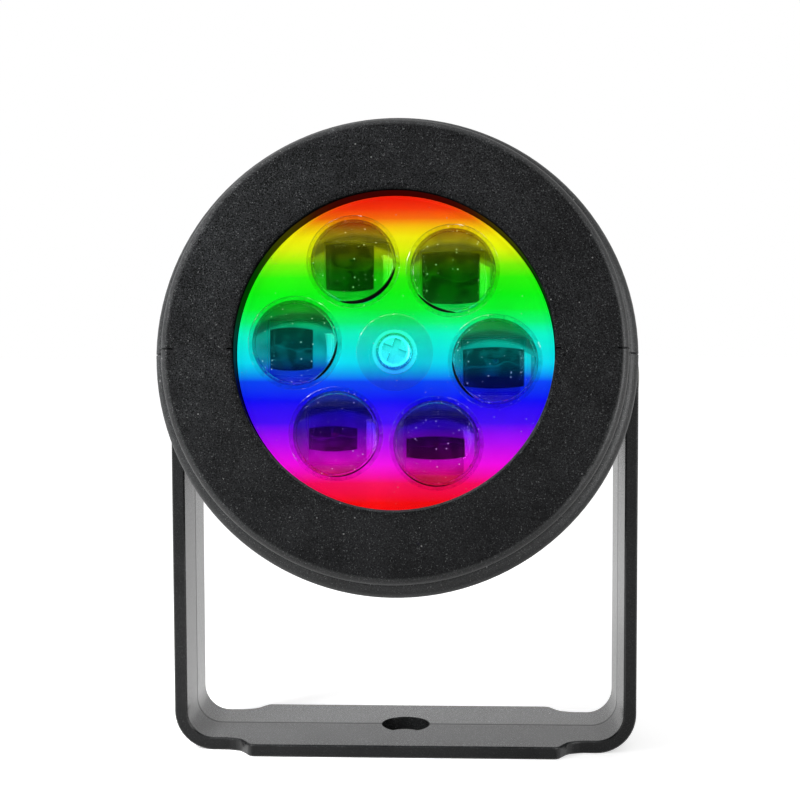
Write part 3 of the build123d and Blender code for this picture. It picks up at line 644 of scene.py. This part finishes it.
def lit_level(look, away):
    """How much of the glow is painted as light on what lies behind a lens.

    It holds painted reflections of the ceiling lamp and of the tall lamp at the right.
    """
    parts = look.parts(away)
    bow = look.product(look.maths("POWER", parts["X"], 2.0), LIT_BOW)
    height = look.maths("ADD", parts["Y"], bow)
    share = look.ranged(height, -LIT_REACH, LIT_REACH)
    # Painted light, with a painted reflection band of the ceiling lamp and a darker arc near the
    # top
    level = look.ramp(share, [(position, grey(level)) for position, level in LIT_LEVELS])
    level = look.product(level, look.varied(look.noise(3 * MM, detail=2.0), *LIT_CLOUDS))
    # Painted reflection of the tall lamp at the right, as a bright strip in the glow's colour
    left, right = REFLECTION_STRIP
    reflection_strip = look.product(
        look.ranged(parts["X"], left, left + REFLECTION_STRIP_FADE),
        look.ranged(parts["X"], right, right - REFLECTION_STRIP_FADE),
        look.ranged(height, REFLECTION_STRIP_TOP, REFLECTION_STRIP_TOP - REFLECTION_STRIP_FADE),
        REFLECTION_STRIP_LEVEL,
    )
    return look.maths("MAXIMUM", level, reflection_strip)


def lit_frame():
    """The black inner frame, with some of the glow through the lens holes painted as light on its
    front.
    """
    look = inner_plastic("frame_plastic", 0.006)
    near = look.ranged(look.station(), FRAME_FRONT - 1.0 * MM, FRAME_FRONT - 0.2 * MM)
    away, middle, _ = behind_lens(look)
    # Painted light: the glow on the frame's front is emission
    look.set(
        emission_color=look.glow_colour(band_shift(look, away, middle)),
        emission_strength=look.product(near, lit_level(look, away)),
    )
    return look


def metal(name, colour, roughness, streak=None):
    """Plated or drawn metal with fine scratches and small stains.

    A streak stretches the scratches, as one factor for each axis.
    """
    look = Look(name, metallic=1.0)
    place = look.vectors("MULTIPLY", look.place, streak) if streak else None
    scratch = look.noise(0.25 * MM, detail=4.0, rough=0.7, place=place)
    stain = look.noise(2.5 * MM, detail=3.0)
    dull = tuple(part * STAIN_SHARE for part in colour)
    look.set(
        base_color=look.mixed(look.ranged(stain, *STAIN_SPAN), colour, dull),
        roughness=look.varied(scratch, roughness - 0.08, roughness + 0.12),
        normal=look.bump(scratch, SKIN_DEPTH, strength=0.6, normal=look.softened(METAL_EDGE)),
    )
    return look


def plain(name, colour, roughness, **values):
    """A smooth solid colour with slight clouds of tone and a fine skin."""
    look = Look(name, **values)
    cloud = look.noise(1.5 * MM, detail=3.0)
    skin = look.noise(0.25 * MM, detail=2.0)
    low, high = (tuple(min(1.0, part * share) for part in colour) for share in TONE_SHARES)
    look.set(
        base_color=look.mixed(look.ranged(cloud, *CLOUD_SPAN), low, high),
        roughness=look.varied(skin, roughness - 0.04, roughness + 0.06),
        normal=look.bump(skin, SKIN_DEPTH, strength=0.5, normal=look.softened(METAL_EDGE)),
    )
    return look


def glowing_sheet():
    """The diffuser: a satin sheet that shines in bands of colour."""
    look = Look("glowing_sheet", roughness=0.5, specular_ior_level=0.0)
    cloud = look.noise(9 * MM, detail=1.0)
    look.set(
        base_color=look.mixed(look.varied(cloud), grey(0.002), grey(0.004)),
        emission_color=look.glow_colour(),
        emission_strength=look.varied(cloud, 0.96, 1.06),
    )
    return look


def clear(name, tint, shine, dust_size, dust_share, dust_radius, dust_glow_level, rims=False):
    """Clear plastic whose reflections take the colour of the glow by place, as a painted tint, with
    dust on its front that glows as painted light.

    With rims it is the lenses, which have crescents of painted shade on their rims.
    """
    look = Look(name, base_color=tint, transmission_weight=1.0, ior=1.49)
    smear = look.noise(3.0 * MM, detail=4.0, distortion=1.0)
    glow = look.glow_colour()
    # Painted tint: the reflections take the glow's colour by place
    look.set(
        specular_tint=look.vectors("SCALE", glow, scale=shine),
        roughness=look.ranged(smear, *SMEAR_SPAN, 0.0, SMEAR_ROUGHNESS),
    )
    place = look.face_place(look.along(HEAD_UP))
    dots = look.specks(dust_size, dust_radius, dust_share, place, flat=True)
    fine = look.specks(
        dust_size * FINE_DUST,
        dust_radius * FINE_DUST_SHARE,
        dust_share * FINE_DUST_SHARE,
        place,
        flat=True,
    )
    front = look.product(look.facing(HEAD_FORWARD, *DUST_SPAN), look.outside())
    dust = look.product(front, look.maths("MAXIMUM", dots, fine))
    # The dust specks are real, and their glow in the glow's colour is painted light
    tone = look.mixed(DUST_WHITE, glow, grey(0.9))
    glowing_dust = look.add("ShaderNodeEmission", {"Strength": dust_glow_level, "Color": tone})
    look.overlay(dust, glowing_dust)
    # Painted shade: black crescents on the lenses' rims
    if rims:
        black = look.add("ShaderNodeBsdfDiffuse", {"Color": grey(RIM_SHADE_TONE)})
        look.overlay(crescents(look), black)
        # Steep rays leave the back of the lens straight instead of being mirrored inside it
        facing = look.add("ShaderNodeLayerWeight", {"Blend": 0.5}).outputs["Facing"]
        within = look.remainder(look.outside())
        steep = look.product(within, look.ranged(facing, *STEEP_SPAN))
        look.overlay(steep, look.add("ShaderNodeBsdfTransparent"))
    return look


def pattern_glass():
    """Slide glass, with painted light like the frame's round a dark window.

    Faint generic wisps in the window are painted light too.
    """
    look = Look("pattern_glass", roughness=0.3, specular_ior_level=0.01)
    away, middle, size = behind_lens(look)
    wave = look.varied(look.noise(3.5 * MM, detail=1.0), -WAVE_HEIGHT, WAVE_HEIGHT)
    ridge = look.maths("ABSOLUTE", look.maths("ADD", look.parts(away)["Y"], wave))
    light = look.ranged(ridge, WAVE_WIDTH, 0.0, smooth=True)
    cloud = look.noise(2.4 * MM, detail=2.0, distortion=0.6)
    cloud = look.ranged(cloud, 0.48, 0.62, *WINDOW_CLOUDS)
    level = look.maths("ADD", cloud, look.product(light, WAVE_LEVEL))

    from_middle = look.parts(look.vectors("ABSOLUTE", look.vectors("SUBTRACT", away, middle)))
    half = look.parts(size)
    reach = look.maths("DIVIDE", from_middle["X"], half["X"])
    bow = look.product(look.maths("POWER", reach, 2.0), WINDOW_BOW)
    past_top = look.maths("SUBTRACT", look.maths("ADD", from_middle["Y"], bow), half["Y"])
    past_side = look.maths("SUBTRACT", from_middle["X"], half["X"])
    past = look.maths("MAXIMUM", past_top, past_side)
    window = look.ranged(past, WINDOW_FADE, -WINDOW_FADE)

    # Painted light: emission within the window and round it
    within = look.product(level, half["Z"], window)
    round_it = look.product(look.remainder(window), lit_level(look, away))
    look.set(
        base_color=look.mixed(light, grey(0.0004), grey(0.0012)),
        emission_color=look.glow_colour(band_shift(look, away, middle)),
        emission_strength=look.maths("ADD", round_it, within),
    )
    return look


def lit_metal(name, roughness):
    """Plated steel of the middle screw, tinted and lit by the glow round it as painted light.

    The walls of the screw's recess are darker, as painted shade.
    """
    look = Look(name, metallic=1.0)
    scratch = look.noise(0.3 * MM, detail=3.0)
    # Painted shade: faces that turn away from the front are darker and glow less
    front = look.blend(look.facing(HEAD_FORWARD, 0.15, 0.5), 0.35, 1.0)
    glow = look.glow_colour()
    # Painted light: the glow tints the screw and shines from it as emission
    look.set(
        base_color=look.vectors("SCALE", look.mixed(0.97, grey(0.9), glow), scale=front),
        roughness=look.varied(scratch, roughness - 0.05, roughness + 0.1),
        normal=look.bump(scratch, SKIN_DEPTH, normal=look.softened(0.06 * MM)),
        emission_color=glow,
        emission_strength=look.product(look.varied(scratch, 0.10, 0.16), front),
    )
    return look


def lit_hub():
    """The hub behind the plate: milky plastic with some of the glow painted on it as light."""
    look = Look("lit_hub", roughness=0.4, specular_ior_level=0.02)
    cloud = look.noise(2.0 * MM)
    # Painted light: the hub glows with some of the glow as emission
    look.set(
        base_color=look.mixed(look.varied(cloud), grey(0.006), grey(0.010)),
        emission_color=look.glow_colour(),
        emission_strength=look.varied(cloud, 0.76, 0.82),
    )
    return look


def board(name, colour, trace):
    """A circuit board with faint traces and tinned pads."""
    look = Look(name, roughness=0.35)
    edge = look.cells(3.0 * MM, feature="DISTANCE_TO_EDGE", jitter=0.6).outputs["Distance"]
    line = look.ranged(edge, 0.06, 0.03)
    pad = look.specks(2.5 * MM, 0.45 * MM, 0.4)
    look.set(
        base_color=look.mixed(pad, look.mixed(line, colour, trace), grey(0.6)),
        normal=look.bump(line, 0.03 * MM, normal=look.softened(0.1 * MM)),
    )
    return look


casing = casing_plastic()
screw_steel = metal("screw_steel", (0.62, 0.62, 0.60), 0.30)
motor_steel = metal("motor_steel", (0.55, 0.55, 0.53), 0.32)
brass = metal("terminal_brass", (0.72, 0.55, 0.26), 0.28)
glow_lit_screw = lit_metal("glow_lit_screw", 0.28)

LOOKS = {
    "u_bracket": bracket_plastic(),
    "upper_shell": casing,
    "lower_shell": casing,
    "casing_screws": metal("black_steel", (0.09, 0.09, 0.09), 0.40),
    "pivot_screws": screw_steel,
    "pivot_nuts": screw_steel,
    "friction_washers": plain("washer_rubber", grey(0.018), 0.70),
    "diffuser": glowing_sheet(),
    "inner_frame": lit_frame(),
    "pattern_slides": pattern_glass(),
    "gearbox": motor_steel,
    "motor_can": motor_steel,
    "motor_terminals": brass,
    "motor_screws": screw_steel,
    "condenser_holder": inner_plastic("cup_plastic", 0.012),
    "condenser_lenses": plain("condenser_clear", grey(0.95), 0.05, transmission_weight=1.0),
    "spacers": brass,
    "led_board": board("board_white", (0.78, 0.78, 0.76), (0.66, 0.66, 0.64)),
    "leds": plain("led_package", (0.85, 0.72, 0.25), 0.25),
    "heat_sink": metal("sink_aluminium", (0.75, 0.75, 0.76), 0.42, (1.0, 0.08, 1.0)),
    "stack_screws": screw_steel,
    "driver_board": board("board_green", (0.012, 0.12, 0.04), (0.03, 0.24, 0.09)),
    "driver_screws": screw_steel,
    "capacitors": plain("capacitor_sleeve", (0.02, 0.03, 0.12), 0.30),
    "driver_coil": plain("coil_ferrite", grey(0.05), 0.60),
    "driver_chips": plain("chip_resin", grey(0.02), 0.50),
    "wire_sockets": plain("socket_nylon", (0.78, 0.76, 0.68), 0.45),
    "power_inlet": plain("inlet_plastic", grey(0.016), 0.28),
    "inlet_nut": screw_steel,
    "lens_plate": clear(
        "plate_clear",
        tint=grey(0.99),
        shine=1.0,
        dust_size=5.0 * MM,
        dust_share=0.35,
        dust_radius=0.11 * MM,
        dust_glow_level=0.55,
    ),
    "projection_lenses": clear(
        "lens_clear",
        tint=grey(0.95),
        shine=0.2,
        dust_size=2.1 * MM,
        dust_share=0.24,
        dust_radius=0.12 * MM,
        dust_glow_level=0.9,
        rims=True,
    ),
    "shaft_hub": lit_hub(),
    "output_shaft": motor_steel,
    "centre_washer": glow_lit_screw,
    "centre_screw": glow_lit_screw,
}

for name, look in LOOKS.items():
    mesh = nodes[name].data
    mesh.materials.clear()
    mesh.materials.append(look.material)


def make_camera():
    forward = Vector(
        (
            math.sin(CAMERA_YAW) * math.cos(CAMERA_PITCH),
            math.cos(CAMERA_YAW) * math.cos(CAMERA_PITCH),
            -math.sin(CAMERA_PITCH),
        )
    )
    level = Vector((math.cos(CAMERA_YAW), -math.sin(CAMERA_YAW), 0.0))
    upright = level.cross(forward)
    right = level * math.cos(CAMERA_ROLL) + upright * math.sin(CAMERA_ROLL)
    up = right.cross(forward)
    data = bpy.data.cameras.new("camera")
    data.sensor_width = SENSOR_WIDTH
    data.lens = LENS
    data.clip_start = 0.01
    data.clip_end = 20.0
    camera = bpy.data.objects.new("camera", data)
    bpy.context.scene.collection.objects.link(camera)
    turn = Matrix((right, up, -forward)).transposed().to_4x4()
    camera.matrix_world = Matrix.Translation(CAMERA_PLACE) @ turn
    bpy.context.scene.camera = camera


def white_rays(shades):
    """A value of 1 for the rays that see the background: camera, glossy and transmission."""
    path = shades.add("ShaderNodeLightPath").outputs
    seen = shades.maths("MAXIMUM", path["Is Camera Ray"], path["Is Glossy Ray"])
    return shades.maths("MAXIMUM", seen, path["Is Transmission Ray"])


def make_floor():
    """A large pale floor that shows white round the lamp and keeps its shadow.

    Below the foot's hole it is dark, as a painted shadow.
    """
    bpy.ops.mesh.primitive_plane_add(size=FLOOR_SIZE, location=(0, 0, 0))
    floor = bpy.context.object
    floor.name = "floor"
    material = bpy.data.materials.new("floor")
    material.use_nodes = True
    shades = Nodes(material.node_tree)
    away = shades.length(shades.add("ShaderNodeTexCoord").outputs["Object"])
    # Painted shadow: the floor is dark below the foot's hole
    outside_hole_shadow = shades.ranged(away, *HOLE_SHADOW_EDGE, HOLE_SHADOW_TONE)
    tone = shades.product(outside_hole_shadow, FLOOR_TONE)
    lift = shades.product(white_rays(shades), FLOOR_LIFT, outside_hole_shadow)
    matt = shades.add("ShaderNodeBsdfDiffuse", {"Color": tone}).outputs["BSDF"]
    seen = shades.add("ShaderNodeEmission", {"Strength": lift}).outputs["Emission"]
    both = shades.add("ShaderNodeAddShader", {0: matt, 1: seen}).outputs["Shader"]
    shades.add("ShaderNodeOutputMaterial", {"Surface": both})
    floor.data.materials.append(material)


def make_world():
    """White where it is seen, and a plain soft light for everything else."""
    world = bpy.data.worlds.new("studio")
    bpy.context.scene.world = world
    world.use_nodes = True
    shades = Nodes(world.node_tree)
    strength = shades.blend(white_rays(shades), WORLD_LIGHT, 1.0)
    sky = shades.add("ShaderNodeBackground", {"Color": (1, 1, 1), "Strength": strength})
    shades.add("ShaderNodeOutputWorld", {"Surface": sky.outputs["Background"]})


def make_lamp(name, place, size, radiance, glossy, diffuse):
    """A soft rectangular lamp of a radiance, seen in reflections, on matt surfaces or both."""
    data = bpy.data.lights.new(name, "AREA")
    data.shape = "RECTANGLE"
    width, height = size
    data.size = width
    data.size_y = height
    data.energy = radiance * math.pi * width * height
    lamp = bpy.data.objects.new(name, data)
    bpy.context.scene.collection.objects.link(lamp)
    lamp.location = place
    lamp.rotation_mode = "QUATERNION"
    lamp.rotation_quaternion = (LAMP_TARGET - Vector(place)).to_track_quat("-Z", "Y")
    lamp.visible_camera = False
    lamp.visible_glossy = glossy
    lamp.visible_diffuse = diffuse


make_camera()
make_floor()
make_world()
for name, row in LAMPS.items():
    make_lamp(name, *row)

bpy.context.scene.view_settings.view_transform = "Standard"
